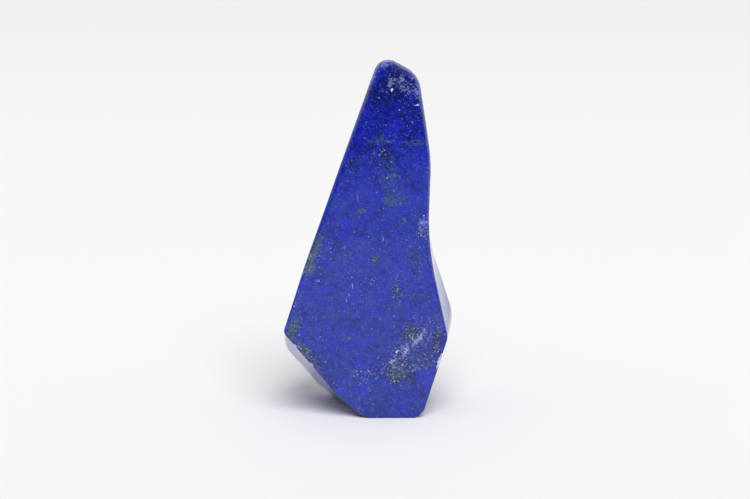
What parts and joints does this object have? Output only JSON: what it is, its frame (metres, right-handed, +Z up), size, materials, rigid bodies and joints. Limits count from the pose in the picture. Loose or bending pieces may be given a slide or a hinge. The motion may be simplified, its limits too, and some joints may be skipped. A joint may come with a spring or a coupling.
{
  "type": "polished lapis lazuli freeform",
  "caption": "Upright polished slab of deep blue lapis lazuli with a nearly flat front face, flaring lower flanks, a domed back and a flat foot to stand on.",
  "frame": {"origin": "on the flat foot, in the plane that the stone stands on, near the middle of the foot", "axes": "+Z up, along the stone's height; -Y towards the nearly flat front face; +X to the right as seen from the front"},
  "size_m": [0.054, 0.0345, 0.1124],
  "materials": {
    "lapis": "polished, glossy deep ultramarine with fine pyrite flecks, grey-green patches and white calcite wisps"
  },
  "bodies": {
    "root": {"lapis_stone": "lapis"}
  },
  "joints": []
}
